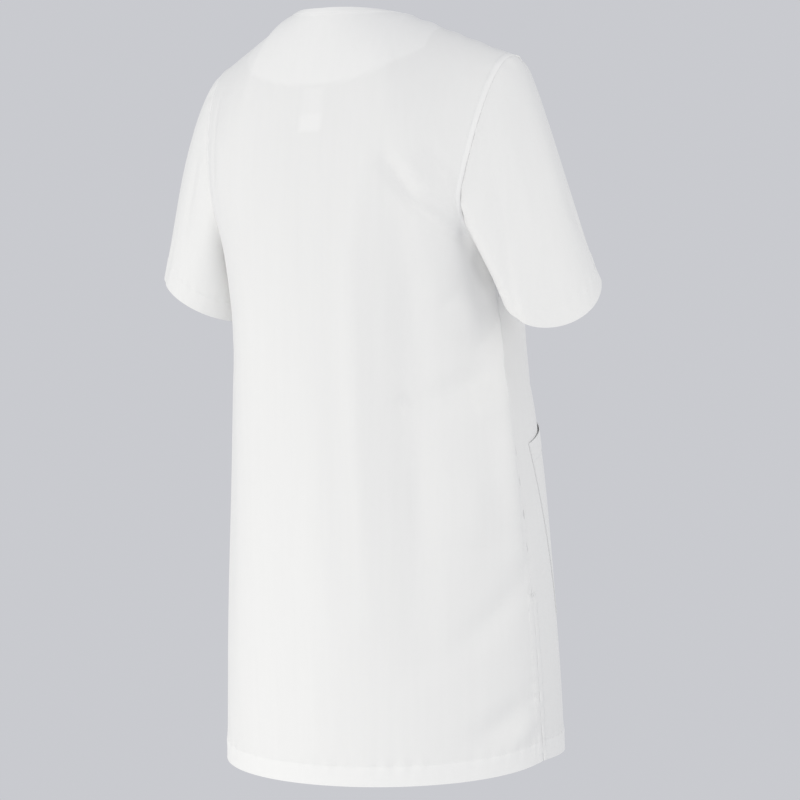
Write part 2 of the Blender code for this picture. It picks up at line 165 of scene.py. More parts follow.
def torso(name, height):
    """One column of the torso's table at some heights."""
    return smooth_through([row.height for row in TORSO],
                          [getattr(row, name) for row in TORSO], height)


def stack(x, y, z):
    return np.stack(np.broadcast_arrays(x, y, z), axis=-1)


# %% Edges that two pieces share
def middle_y(panel, height):
    return torso("back_y" if panel is BACK else "front_y", height)


def round_point(panel, angle, height):
    """On the torso's section at a height: angle 0 is the middle and pi/2 is the side."""
    power = 2.0 / torso("square", height)
    return stack(torso("half_width", height) * np.sin(angle) ** power,
                 blend(torso("side_y", height), middle_y(panel, height),
                       np.maximum(np.cos(angle), 0.0) ** power), height)


def armhole_angle(panel, turn):
    """Where the armhole's lower half cuts the section: turn 0 is the underarm."""
    turn = np.radians(turn)
    height = blend(UNDERARM_HEIGHT, panel.across_height, 1.0 - np.cos(turn))
    side = torso("side_y", height)
    share = np.sin(turn) * (panel.across_y - side) / (middle_y(panel, height) - side)
    return np.arccos(np.minimum(share ** (torso("square", height) / 2.0), 1.0)), height


def armhole_low(panel, turn):
    """From the underarm (0) to where the armhole runs furthest in (90 degrees)."""
    angle, height = armhole_angle(panel, turn)
    return round_point(panel, angle, height)


def over_power(u):
    return smooth_through([row.u for row in OVER], [row.power for row in OVER], u)


def widening(share):
    return 1.0 - (1.0 - share) ** 2.5


def turned_over(share, degrees, power):
    """How far up and how far over the cloth is, where it turns through so many degrees."""
    full = np.radians(degrees)
    rise = np.sin(share * full) / np.sin(full)
    reach = ((1.0 - np.cos(share * full)) / (1.0 - np.cos(full))) ** power
    return rise, reach


def armhole_high(panel, turn):
    """From there (0) to the shoulder tip (90 degrees)."""
    start, end = armhole_low(panel, np.array(90.0)), SHOULDER_TIP
    rise, reach = turned_over(turn / 90.0, panel.over, over_power(1.0))
    return stack(blend(start[0], end[0], widening(turn / 90.0)),
                 blend(start[1], end[1], reach), blend(start[2], end[2], rise))


def top_edge(panel, u):
    """The neck edge up to the neck column, then the shoulder seam to the tip."""
    neck, tip = np.array(NECK_POINT), np.array(SHOULDER_TIP)
    seam = blend(neck, tip, np.clip((u - NECK_COLUMN) / (1.0 - NECK_COLUMN), 0, 1)[..., None])
    share = np.clip(u / NECK_COLUMN, 0.0, 1.0)
    if panel is BACK:
        angle = share * math.pi / 2
        edge = stack(neck[0] * np.sin(angle), blend(neck[1], BACK_NECK[0], np.cos(angle)),
                     blend(BACK_NECK[1], neck[2], 1 - np.cos(angle)))
    else:
        forward = blend(1.0 - share, np.cos(share * math.pi / 2), 0.75)
        edge = stack(neck[0] * share, blend(neck[1], V_POINT[0], forward),
                     blend(V_POINT[1], neck[2], share))
    return np.where((u < NECK_COLUMN)[..., None], edge, seam)


# %% The three zones of a panel
def lower_point(panel, u, share):
    """Below the underarm: share runs from 0 at the hem to 1."""
    drop = blend(panel.hem_height, SIDE_HEM_HEIGHT, u ** HEM_CURVE)
    return round_point(panel, u * math.pi / 2, blend(drop, UNDERARM_HEIGHT, share))


def armhole_row_point(panel, u, share):
    """Beside the lower half of the armhole: share 0 is the underarm row."""
    angle, end_height = armhole_angle(panel, 90.0 * share)
    height = blend(UNDERARM_HEIGHT, panel.middle_height, share)
    return round_point(panel, u * angle, blend(height, end_height, u * u))


def softened_edge(panel, u, share):
    """The top edge, with its corner at the neck point rounded off in the rows below it."""
    near = sum(top_edge(panel, np.clip(u + step, 0.0, 1.0)) for step in NECK_ROUNDING) / 5
    amount = np.exp(-((u - NECK_COLUMN) / 0.10) ** 2) * (1.0 - share ** 3)
    return blend(top_edge(panel, u), near, amount[..., None])


def turned_point(panel, u, share):
    """Above that, turning over to the neck edge and the shoulder seam at share 1."""
    start = armhole_row_point(panel, u, np.ones_like(share))
    end = softened_edge(panel, u, share)
    shoulder = ease(u, 0.0, NECK_COLUMN)
    rounding = blend(NECK_LEAN, 1.0, shoulder)
    rise, reach = turned_over(share, blend(90.0, panel.over, shoulder), over_power(u))
    rise = blend(share, rise, rounding)
    reach = blend(share, reach, rounding)
    across = blend(share, widening(share), u)
    return stack(blend(start[..., 0], end[..., 0], across),
                 blend(start[..., 1], end[..., 1], reach),
                 blend(start[..., 2], end[..., 2], rise))


def upper_point(panel, u, share):
    """The same, leaving the rows below it without a crease."""
    one = np.ones_like(share)
    start = armhole_row_point(panel, u, one)
    below = start - armhole_row_point(panel, u, 0.9 * one)
    leaving_rate = (turned_point(panel, u, 0.02 * one) - start) / 0.02
    wanted = below * leaving_rate[..., 2:] / below[..., 2:]
    fade = share * (1.0 - share) ** 3 * (1.0 - u ** 4)
    return turned_point(panel, u, share) + (wanted - leaving_rate) * fade[..., None]


def with_left_shoulder(points):
    """The left shoulder sits a little higher than the right one."""
    rise = (ease(points[..., 0], RISE_FROM[0], RISE_FULL[0])
            * ease(points[..., 2], RISE_FROM[1], RISE_FULL[1]) * LEFT_SHOULDER_RISE)
    return points + rise[..., None] * np.array([0.0, 0.0, 1.0])


# %% [markdown]
# ## A finer grid than the solids have
#
# The visible cloth needs points every 3 or 4 mm for its folds, and every millimetre or so at
# its edges, where the stitching pulls it into small ridges. So the columns close up towards the
# sides, and the rows towards the hem and the neck.

# %% Columns, rows and one whole panel
def joined(*runs):
    """Several evenly spaced runs of (start, end, steps) as one rising list."""
    parts = [np.linspace(a, b, n, endpoint=False) for a, b, n in runs]
    return np.concatenate(parts + [[runs[-1][1]]])


HALF_COLUMNS = joined((0.0, NECK_COLUMN, 28), (NECK_COLUMN, 0.93, 36), (0.93, 1.0, 12))
HEM_ROWS = joined((0.0, 0.034, 4), (0.034, 0.046, 6), (0.046, 1.0, 124))
ARMHOLE_ROWS = joined((0.0, 1.0, 20))
TOP_ROWS = joined((0.0, 0.90, 44), (0.90, 1.0, 16))


def drawn_back(edge, neighbour, distance):
    """Edge points moved towards their neighbours, which opens a seam's gap."""
    away = neighbour - edge
    return edge + away / np.linalg.norm(away, axis=-1, keepdims=True) * distance


def panel_grid(panel):
    """Rows from the hem up, each from the wearer's right edge to the left one."""
    u = HALF_COLUMNS[None, :]
    zones = [(lower_point, HEM_ROWS), (armhole_row_point, ARMHOLE_ROWS[1:]),
             (upper_point, TOP_ROWS[1:])]
    half = np.concatenate([zone(panel, *np.broadcast_arrays(u, rows[:, None]))
                           for zone, rows in zones])
    heights = half[:, -1, 2]
    slit = np.clip((SLIT_TOP_HEIGHT - heights) / (SLIT_TOP_HEIGHT - SIDE_HEM_HEIGHT), 0, 1)
    half[:, -1] = drawn_back(half[:, -1], half[:, -2], (slit * SLIT_OPENING)[:, None])
    seam = HALF_COLUMNS >= NECK_COLUMN
    half[-1, seam] = drawn_back(half[-1, seam], half[-2, seam], SHOULDER_GAP / 2)
    mirrored = half[:, :0:-1] * np.array([-1.0, 1.0, 1.0])
    return with_left_shoulder(np.concatenate([mirrored, half], axis=1))


def grid_normals(points, closed=False):
    """Unit normals, along columns times along rows; a closed grid's rows run all round."""
    if closed:
        padded = np.concatenate([points[:, -1:], points, points[:, :1]], axis=1)
        along_columns = np.gradient(padded, axis=1)[:, 1:-1]
    else:
        along_columns = np.gradient(points, axis=1)
    normals = np.cross(along_columns, np.gradient(points, axis=0))
    return normals / np.maximum(np.linalg.norm(normals, axis=2, keepdims=True), 1e-12)


def run_lengths(points, axis):
    """How far along the cloth each point is, in metres."""
    steps = np.linalg.norm(np.diff(points, axis=axis), axis=-1)
    return np.concatenate([np.zeros_like(np.take(steps, [0], axis)), np.cumsum(steps, axis)],
                          axis)


back_grid = panel_grid(BACK)
front_grid = panel_grid(FRONT)
print("panel grids:", back_grid.shape, front_grid.shape)

# %% [markdown]
# ## Folds in the cloth
#
# Cloth that hangs from the shoulders keeps a few long, soft folds, and it drags towards the
# armhole where the arm would lift it. Each fold is a path in the cloth's own measures, metres
# across from the panel's middle and height, with a half width and a rise, which is below zero
# for a trough. The photograph's folds come first, and the hidden front gets similar ones.

# %% The fold table
Fold = namedtuple("Fold", "what path half_width rise")
BACK_FOLDS = [
    Fold("long ridge", [(-.070, -.150), (-.050, -.240), (-.060, -.600)], .018, .0045),
    Fold("long trough", [(-.090, -.155), (-.105, -.280), (-.115, -.640)], .022, -.0075),
    Fold("side fullness", [(-.195, -.225), (-.220, -.530)], .022, .0080),
    Fold("pinch", [(-.095, -.380), (-.105, -.400)], .009, -.0030),
    Fold("drag line", [(-.085, -.155), (-.115, -.195), (-.165, -.230)], .010, -.0060),
    Fold("ridge over it", [(-.100, -.150), (-.155, -.205)], .010, .0035),
    Fold("upper drag line", [(-.125, -.135), (-.165, -.195)], .008, -.0030),
    Fold("armhole hollow", [(-.160, -.220), (-.180, -.230)], .012, -.0025),
    Fold("shade under the sleeve", [(-.175, -.240), (-.200, -.280)], .011, -.0025),
    Fold("bulge", [(-.145, -.285), (-.190, -.325)], .026, .0050),
    Fold("seam crest", [(-.210, -.290), (-.215, -.375)], .013, .0050),
    Fold("waist trough", [(-.205, -.355), (-.105, -.395)], .020, -.0055),
    Fold("ridge below it", [(-.210, -.385), (-.170, -.400)], .018, .0030),
    Fold("soft shade", [(-.105, -.445), (-.110, -.515)], .020, -.0020),
    Fold("soft swell", [(-.165, -.450), (-.160, -.535)], .032, .0045),
    Fold("hip trough", [(-.230, -.560), (-.140, -.635)], .019, -.0035),
    Fold("hem trough", [(-.225, -.680), (-.160, -.720)], .017, -.0040),
    Fold("hem ridge", [(-.235, -.700), (-.195, -.725)], .012, .0020),
    Fold("left shoulder crease", [(.160, -.075), (.130, -.190)], .008, -.0020),
    Fold("left swell", [(.095, -.200), (.100, -.480)], .034, .0020),
    Fold("left trough", [(.140, -.300), (.150, -.660)], .028, -.0025),
    Fold("middle trough", [(.030, -.300), (.025, -.700)], .026, -.0015),
    Fold("middle swell", [(-.010, -.320), (-.015, -.640)], .022, .0010),
]
FRONT_FOLDS = [
    Fold("middle trough", [(.000, -.280), (.004, -.700)], .030, -.0030),
    Fold("right swell", [(-.090, -.250), (-.110, -.700)], .034, .0026),
    Fold("left swell", [(.095, -.260), (.104, -.690)], .034, .0026),
    Fold("right drag line", [(-.110, -.190), (-.165, -.235)], .012, -.0024),
    Fold("left drag line", [(.108, -.188), (.165, -.232)], .012, -.0024),
    Fold("right hip trough", [(-.185, -.330), (-.140, -.400)], .016, -.0026),
    Fold("left hip trough", [(.190, -.345), (.142, -.410)], .016, -.0026),
    Fold("hem trough", [(.060, -.600), (.050, -.735)], .022, -.0020),
]


# %% Lift the cloth along its folds
def fold_lift(fold, across, height):
    """How far a fold lifts each point: full along its path, fading sideways and at its ends."""
    path = np.array(fold.path)
    steps = np.linalg.norm(np.diff(path, axis=0), axis=1)
    length, done = steps.sum(), 0.0
    nearest = np.full(across.shape, 1e9)
    along = np.zeros(across.shape)
    place = np.stack([across, height], axis=-1)
    for start, end, step in zip(path[:-1], path[1:], steps):
        share = np.clip((place - start) @ (end - start) / step ** 2, 0.0, 1.0)
        gap = np.linalg.norm(place - (start + share[..., None] * (end - start)), axis=-1)
        closer = gap < nearest
        nearest = np.where(closer, gap, nearest)
        along = np.where(closer, (done + share * step) / length, along)
        done += step
    ends = np.sin(np.clip(along, 0.06, 0.94) * math.pi) ** 0.7
    return fold.rise * np.exp(-1.5 * (nearest / fold.half_width) ** 2) * ends


def slow_waves(across, height, seed, size):
    """A few long, seeded waves, so that no stretch of cloth is quite even."""
    draw = np.random.default_rng(seed)
    total = np.zeros(across.shape)
    for _ in range(7):
        wide, tall = draw.uniform(0.05, 0.12), draw.uniform(0.10, 0.30)
        start = draw.uniform(0, 2 * math.pi, 2)
        total += (np.sin(across / wide * 2 + start[0] + np.sin(height / tall * 2))
                  * np.cos(height / tall * 2 + start[1]))
    return total * size / 7


# %% [markdown]
# ## What sewing does to an edge
#
# A hem or a faced edge is two or three layers thick, so it stands a little proud. Its row of
# stitches pulls a narrow groove into it, and because thread and cloth shrink differently, small
# puckers run across that groove. One function makes all of that from the distance to the edge.

# %% A sewn edge
def puckers(along, seed, every=0.011):
    """Uneven ripples along a seam, from -1 to 1."""
    draw = np.random.default_rng(seed)
    total = np.zeros(np.shape(along))
    for _ in range(5):
        wave = every * draw.uniform(0.7, 1.9)
        total += np.sin(along / wave * 2 * math.pi + draw.uniform(0, 2 * math.pi))
    return total / 3.0


def sewn_edge(distance, along, stitch_at, bulk, pucker, seed):
    """The lift of a sewn edge: its bulk, its groove and its puckers."""
    thick = bulk * (1.0 - ease(distance, stitch_at - 0.0004, stitch_at + 0.0022))
    groove = 0.00040 * np.exp(-((distance - stitch_at) / 0.0011) ** 2)
    ripple = pucker * puckers(along, seed) * np.exp(-((distance - stitch_at) / 0.007) ** 2)
    return thick - groove + ripple


NECK_STITCH = 0.0065
HEM_STITCH = 0.0200
SLIT_STITCH = 0.0080
SEAM_STITCH = 0.0055


def dressed(panel, grid, folds, seed):
    """A panel's grid with its folds, its seams and its sewn edges."""
    across = run_lengths(grid, 1)
    across = across - across[:, [across.shape[1] // 2]]
    up = run_lengths(grid, 0)
    down = up[-1] - up
    height = grid[..., 2]
    to_side = np.minimum(np.abs(across - across[:, :1]), np.abs(across - across[:, -1:]))
    lift = sum(fold_lift(fold, across, height) for fold in folds)
    lift = lift + slow_waves(across, height, seed, 0.0012)
    lift *= ease(to_side, 0.0, 0.012) * ease(down, 0.0, 0.030)
    u = np.concatenate([HALF_COLUMNS[:0:-1], HALF_COLUMNS])[None, :]
    neck = 1.0 - ease(u, NECK_COLUMN - 0.03, NECK_COLUMN + 0.03)
    armhole = ease(height, UNDERARM_HEIGHT - 0.002, UNDERARM_HEIGHT + 0.004)
    slit = 1.0 - ease(height, SLIT_TOP_HEIGHT - 0.004, SLIT_TOP_HEIGHT + 0.002)
    lift += neck * sewn_edge(down, across, NECK_STITCH, 0.0007, 0.00025, seed + 1)
    lift += (1 - neck) * 0.0009 * puckers(across, seed + 2, 0.026) * np.exp(-(down / 0.018) ** 2)
    lift += sewn_edge(up, across, HEM_STITCH, 0.0005, 0.0008, seed + 3)
    lift += armhole * sewn_edge(to_side, height, SEAM_STITCH, 0.0007, 0.00030, seed + 4)
    lift += slit * sewn_edge(to_side, height, SLIT_STITCH, 0.0006, 0.00045, seed + 5)
    lift -= (1 - slit) * (1 - armhole) * 0.0002 * np.exp(-(to_side / 0.0030) ** 2)
    lift += (1 - armhole) * 0.0005 * puckers(height, seed + 6, 0.020) * np.exp(
        -(to_side / 0.012) ** 2)
    tack = np.exp(-(to_side / 0.010) ** 2 - ((height - SLIT_TOP_HEIGHT - 0.004) / 0.011) ** 2)
    lift += 0.0009 * tack * puckers(0.6 * height + to_side, seed + 7, 0.005)
    facing_out = -1.0 if panel is BACK else 1.0
    edge = np.minimum(to_side, np.where(neck < 0.5, down, 1.0))
    lift *= np.where(armhole + slit > 0.5, ease(edge, -0.0006, 0.0010), 1.0)
    return grid + grid_normals(grid) * (lift * facing_out)[..., None], across, up


back_cloth, back_across, back_up = dressed(BACK, back_grid, BACK_FOLDS, 10)
front_cloth, front_across, front_up = dressed(FRONT, front_grid, FRONT_FOLDS, 30)
print("back moved by up to", round(float(np.abs(back_cloth - back_grid).max()) * 1000, 1), "mm")

# %% [markdown]
# ## The sleeves
#
# A set-in sleeve is a tube whose first ring is the armhole and whose last ring is the cuff. Every
# line down it leaves the armhole in its own direction and ends falling straight through the
# cuff, which makes the rounded cap by itself. The two sleeves hang differently.

# %% Sleeve measures and grid
Leaving = namedtuple("Leaving", "angle out back up")
SLEEVE_START = {
    "right": [
        Leaving(0, 0.010, -0.004, -0.020), Leaving(45, 0.012, 0.004, -0.030),
        Leaving(90, 0.022, 0.004, -0.050), Leaving(135, 0.030, 0.004, -0.040),
        Leaving(180, 0.050, -0.006, -0.030), Leaving(225, 0.034, -0.006, -0.040),
        Leaving(270, 0.024, 0.002, -0.050), Leaving(315, 0.014, -0.006, -0.030),
        Leaving(360, 0.010, -0.004, -0.020)],
    "left": [
        Leaving(0, 0.012, -0.004, -0.020), Leaving(45, 0.018, 0.006, -0.030),
        Leaving(90, 0.034, 0.010, -0.040), Leaving(135, 0.078, 0.004, -0.040),
        Leaving(180, 0.125, -0.006, -0.040), Leaving(225, 0.075, -0.006, -0.040),
        Leaving(270, 0.034, -0.006, -0.040), Leaving(315, 0.018, -0.006, -0.030),
        Leaving(360, 0.012, -0.004, -0.020)],
}
Cuff = namedtuple("Cuff", "side out y height half_out half_deep turn rise_out rise_back "
                  "fall_out fall_back")
CUFFS = [
    Cuff("right", 0.201, -0.038, -0.276, 0.0445, 0.055, 7.0, -0.44, -0.65, 0.25, -0.35),
    Cuff("left", 0.2005, -0.031, -0.274, 0.0465, 0.062, 8.0, 0.62, -0.11, 0.35, -0.13),
]
SLEEVE_FALL = 0.09
ROUND_COLUMNS = 144
SLEEVE_ROWS = joined((0.0, 0.10, 14), (0.10, 0.80, 40), (0.80, 1.0, 26))


def armhole(angle):
    """The armhole all round, from the underarm over the back, the tip and the front."""
    parts = [armhole_low(BACK, np.clip(angle, 0, 90)),
             armhole_high(BACK, np.clip(angle - 90, 0, 90)),
             armhole_high(FRONT, np.clip(270 - angle, 0, 90)),
             armhole_low(FRONT, np.clip(360 - angle, 0, 90))]
    which = np.clip(angle // 90, 0, 3).astype(int)
    return np.choose(which[:, None], parts)


def cuff_points(cuff, angle):
    """The cuff's edge: angle 0 faces the body and 90 faces back."""
    turned, swing = np.radians(angle), math.radians(cuff.turn)
    out, deep = -np.cos(turned) * cuff.half_out, np.sin(turned) * cuff.half_deep
    out, deep = (out * math.cos(swing) - deep * math.sin(swing),
                 out * math.sin(swing) + deep * math.cos(swing))
    return stack(cuff.out + out, cuff.y + deep,
                 cuff.height + out * cuff.rise_out + deep * cuff.rise_back)


def sleeve_grid(cuff):
    """Rows from the armhole down to the cuff, each once round from the underarm."""
    angle = np.arange(ROUND_COLUMNS) * 360.0 / ROUND_COLUMNS
    fall = np.array([cuff.fall_out, cuff.fall_back, -1.0])
    fall *= SLEEVE_FALL / np.linalg.norm(fall)
    rows = SLEEVE_START[cuff.side]
    start_slope = smooth_through([row.angle for row in rows], [row[1:] for row in rows], angle)
    start, end = armhole(angle), cuff_points(cuff, angle)
    grid = np.array([hermite(start, start_slope, end, fall, t) for t in SLEEVE_ROWS])
    grid[0] = drawn_back(grid[0], grid[1], -ARMHOLE_TUCK)
    side = 1.0 if cuff.side == "left" else -1.0
    return with_left_shoulder(grid * np.array([side, 1.0, 1.0]))


# %% [markdown]
# A sleeve's folds are given by the angle round it and the distance down from the armhole. The
# right sleeve has a soft trough behind its cap and a nip above the cuff in front. The left one
# has a thin crease, and a hollow where it comes near the body.

# %% Sleeve folds and hems
SLEEVE_FOLDS = {
    "right": [
        Fold("trough behind the cap", [(112, .030), (104, .095), (92, .170)], .015, -.0022),
        Fold("swell outside it", [(140, .030), (134, .190)], .017, .0018),
        Fold("nip above the cuff", [(215, .154), (250, .150)], .020, -.0050),
        Fold("front trough", [(270, .050), (285, .160)], .016, -.0020),
        Fold("outer swell", [(185, .060), (190, .170)], .020, .0012)],
    "left": [
        Fold("thin crease", [(128, .130), (132, .215)], .006, -.0014),
        Fold("inner hollow", [(40, .120), (50, .190)], .016, -.0020),
        Fold("outer swell", [(165, .060), (170, .190)], .020, .0016),
        Fold("cap trough", [(110, .020), (100, .090)], .012, -.0018),
        Fold("front trough", [(262, .060), (250, .170)], .018, -.0022)],
}


def dressed_sleeve(cuff, seed):
    """A sleeve's grid with its folds, its seams and its hem."""
    grid = sleeve_grid(cuff)
    down = run_lengths(grid, 0)
    up = down[-1] - down
    ring = run_lengths(np.concatenate([grid, grid[:, :1]], axis=1), 1)
    around, girth = ring[:, :-1], ring[:, -1:]
    turn = around / girth * 360.0
    mean_girth = float(girth.mean())
    lift = np.zeros(down.shape)
    for fold in SLEEVE_FOLDS[cuff.side]:
        path = [(angle / 360.0 * mean_girth, -drop) for angle, drop in fold.path]
        lift += fold_lift(fold._replace(path=path), turn / 360.0 * mean_girth, -down)
    lift += 0.0010 * puckers(around, seed, 0.150) * ease(down, 0.0, 0.05)
    lift *= ease(down, 0.0, 0.016)
    to_seam = np.minimum(around, girth - around)
    lift -= 0.0004 * np.exp(-(to_seam / 0.0025) ** 2)
    lift -= 0.0003 * np.exp(-(down / 0.0022) ** 2)
    lift += 0.0006 * puckers(around, seed + 1, 0.016) * np.exp(-((down - 0.007) / 0.006) ** 2)
    lift += sewn_edge(up, around, HEM_STITCH, 0.0005, 0.00035, seed + 2)
    outward = grid_normals(grid, closed=True) * (-1.0 if cuff.side == "left" else 1.0)
    middle = grid.mean(axis=1, keepdims=True)
    if float(((grid - middle) * outward).sum()) < 0:
        outward = -outward
    return grid + outward * lift[..., None], around, down


# %% [markdown]
# ## From a grid to cloth
#
# A grid becomes a mesh with one quad for each cell. A UV map in metres lets the weave follow the
# cloth, and a named attribute tells the materials where to paint light showing through from cloth
# behind. Solidify grows the wall inwards, twice as thick where the hem is turned up, and is
# applied, so that what follows measures the real shape.

# %% Make and finish a cloth piece
CLOTH_WALL, HEM_WALL, TRIM_WALL = 0.0012, 0.0021, 0.0010
LAID_GAP, FACING_GAP = 0.0006, 0.0014


def applied(piece):
    """The piece with its modifiers made part of its mesh."""
    shape = bpy.data.meshes.new_from_object(
        piece.evaluated_get(bpy.context.evaluated_depsgraph_get()))
    old = piece.data
    piece.modifiers.clear()
    piece.data = shape
    bpy.data.meshes.remove(old)
    shape.name = piece.name
    return piece


def cloth(name, grid, uv, attributes, material, wall=CLOTH_WALL, closed=False, flip=False,
          thick_rows=()):
    """A piece of cloth through a grid of points."""
    rows, columns = grid.shape[:2]
    index = np.arange(rows * columns).reshape(rows, columns)
    if closed:
        index = np.concatenate([index, index[:, :1]], axis=1)
    corners = [index[:-1, :-1], index[:-1, 1:], index[1:, 1:], index[1:, :-1]]
    if flip:
        corners = corners[::-1]
    faces = np.stack(corners, axis=-1).reshape(-1, 4)
    mesh = bpy.data.meshes.new(name)
    mesh.from_pydata(grid.reshape(-1, 3).tolist(), [], faces.tolist())
    layer = mesh.uv_layers.new(name="Cloth")
    loops = np.empty(len(mesh.loops), dtype=np.int32)
    mesh.loops.foreach_get("vertex_index", loops)
    flat = np.stack([uv[0], uv[1]], axis=-1).reshape(-1, 2)[loops]
    if closed:
        girth = uv[2].reshape(-1)[loops]
        wrapped = np.repeat(flat.reshape(-1, 4, 2)[:, :, 0].max(axis=1) > 0.5 * girth[::4], 4)
        flat[:, 0] += np.where(wrapped & (flat[:, 0] < 0.25 * girth), girth, 0.0)
    layer.data.foreach_set("uv", flat.reshape(-1))
    for label, values in attributes.items():
        field = mesh.attributes.new(label, "FLOAT", "POINT")
        field.data.foreach_set("value", np.broadcast_to(values, (rows, columns)).reshape(-1)
                               .astype(np.float32))
    piece = bpy.data.objects.new(name, mesh)
    bpy.context.scene.collection.objects.link(piece)
    solid = piece.modifiers.new("Wall", "SOLIDIFY")
    solid.thickness, solid.offset = wall, -1.0
    if len(thick_rows):
        group = piece.vertex_groups.new(name="Turned up")
        group.add([int(i) for i in index[list(thick_rows), :columns].reshape(-1)], 1.0, "REPLACE")
        solid.thickness, solid.vertex_group = HEM_WALL, group.name
        solid.thickness_vertex_group = wall / HEM_WALL
    applied(piece)
    piece.data.shade_smooth()
    piece.data.set_sharp_from_angle(angle=math.radians(50))
    piece.data.materials.clear()
    piece.data.materials.append(material)
    return piece


def sewn_on(piece, *nodes):
    """Every piece of the tunic joins one still body, and the solids that it stands for are hidden.
    """
    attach(piece, "root")
    if nodes:
        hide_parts(*nodes)
    return piece


# %% [markdown]
# ## White work cloth
#
# The cloth is a white blend of polyester and cotton, woven plainly from fine yarns. It is matt, a
# touch rough, and its brightness drifts a little. The weave is one node group that every cloth
# shares: it crosses two sets of ridges along the UV map, which is in metres, so the yarns keep
# their real size on every piece, and the gaps between its yarns darken the colour a little as
# painted shade. A second group makes the drift in brightness, and an attribute lets painted light
# show through where cloth lies behind.

# %% Node helpers
def add_node(tree, kind, inputs=(), **settings):
    """A node with its settings, and its inputs linked or set by name or number."""
    node = tree.nodes.new(kind)
    for key, value in settings.items():
        setattr(node, key, value)
    for key, value in dict(inputs).items():
        if isinstance(value, bpy.types.NodeSocket):
            tree.links.new(value, node.inputs[key])
        else:
            node.inputs[key].default_value = value
    return node


def math_node(tree, operation, *values):
    return add_node(tree, "ShaderNodeMath", dict(enumerate(values)), operation=operation).outputs[0]


def new_group(name, inputs, outputs):
    """An empty shader group with named sockets, and the sockets that it gives and takes."""
    tree = bpy.data.node_groups.new(name, "ShaderNodeTree")
    for label, kind, value in inputs:
        socket = tree.interface.new_socket(label, in_out="INPUT", socket_type=kind)
        socket.default_value = value
    for label, kind in outputs:
        tree.interface.new_socket(label, in_out="OUTPUT", socket_type=kind)
    return tree, tree.nodes.new("NodeGroupInput").outputs, tree.nodes.new("NodeGroupOutput").inputs


# %% The weave group
FLOAT = "NodeSocketFloat"
weave_tree, given, made = new_group(
    "Plain weave", [("Yarns per metre", FLOAT, 1900.0), ("Slub", FLOAT, 0.25)],
    [("Height", FLOAT), ("Gap", FLOAT)])
uv_map = add_node(weave_tree, "ShaderNodeUVMap", uv_map="Cloth").outputs[0]
place = add_node(weave_tree, "ShaderNodeVectorMath", {0: uv_map, "Scale": given[0]},
                 operation="SCALE").outputs[0]
slub = add_node(weave_tree, "ShaderNodeTexNoise", {"Vector": place, "Scale": 0.035, "Detail": 2.0})
across_yarn = add_node(weave_tree, "ShaderNodeSeparateXYZ", {0: place})
warp = math_node(weave_tree, "ABSOLUTE", math_node(
    weave_tree, "SINE", math_node(weave_tree, "MULTIPLY", across_yarn.outputs[0], math.pi)))
weft = math_node(weave_tree, "ABSOLUTE", math_node(
    weave_tree, "SINE", math_node(weave_tree, "MULTIPLY", across_yarn.outputs[1], math.pi)))
crossing = math_node(weave_tree, "MULTIPLY", math_node(weave_tree, "POWER", warp, 0.6),
                     math_node(weave_tree, "POWER", weft, 0.6))
uneven = math_node(weave_tree, "MULTIPLY", slub.outputs[0], given[1])
weave_tree.links.new(math_node(weave_tree, "ADD", crossing, uneven), made[0])
weave_tree.links.new(math_node(weave_tree, "SUBTRACT", 1.0, crossing), made[1])

# %% The cloth's soft unevenness
mottle_tree, given, made = new_group(
    "Soft unevenness", [("Size", FLOAT, 7.0), ("Strength", FLOAT, 0.04)],
    [("Brightness", FLOAT), ("Height", FLOAT)])
lying = add_node(mottle_tree, "ShaderNodeTexCoord").outputs["Object"]
coords = add_node(mottle_tree, "ShaderNodeVectorMath", {0: lying, 1: (1.0, 1.0, 0.3)},
                  operation="MULTIPLY").outputs[0]
broad = add_node(mottle_tree, "ShaderNodeTexNoise",
                 {"Vector": coords, "Scale": given[0], "Detail": 3.0, "Roughness": 0.5}).outputs[0]
streaks = add_node(mottle_tree, "ShaderNodeVectorMath", {0: lying, 1: (1.0, 1.0, 0.05)},
                   operation="MULTIPLY").outputs[0]
streak = add_node(mottle_tree, "ShaderNodeTexNoise",
                  {"Vector": streaks, "Scale": 150.0, "Detail": 2.0}).outputs[0]
both = math_node(mottle_tree, "ADD", broad, math_node(mottle_tree, "MULTIPLY", streak, 0.6))
centred = math_node(mottle_tree, "SUBTRACT", both, 0.8)
mottle_tree.links.new(math_node(mottle_tree, "MULTIPLY", centred, given[1]), made[0])
fine = add_node(mottle_tree, "ShaderNodeTexNoise",
                {"Vector": coords, "Scale": 240.0, "Detail": 2.0}).outputs[0]
mottle_tree.links.new(fine, made[1])


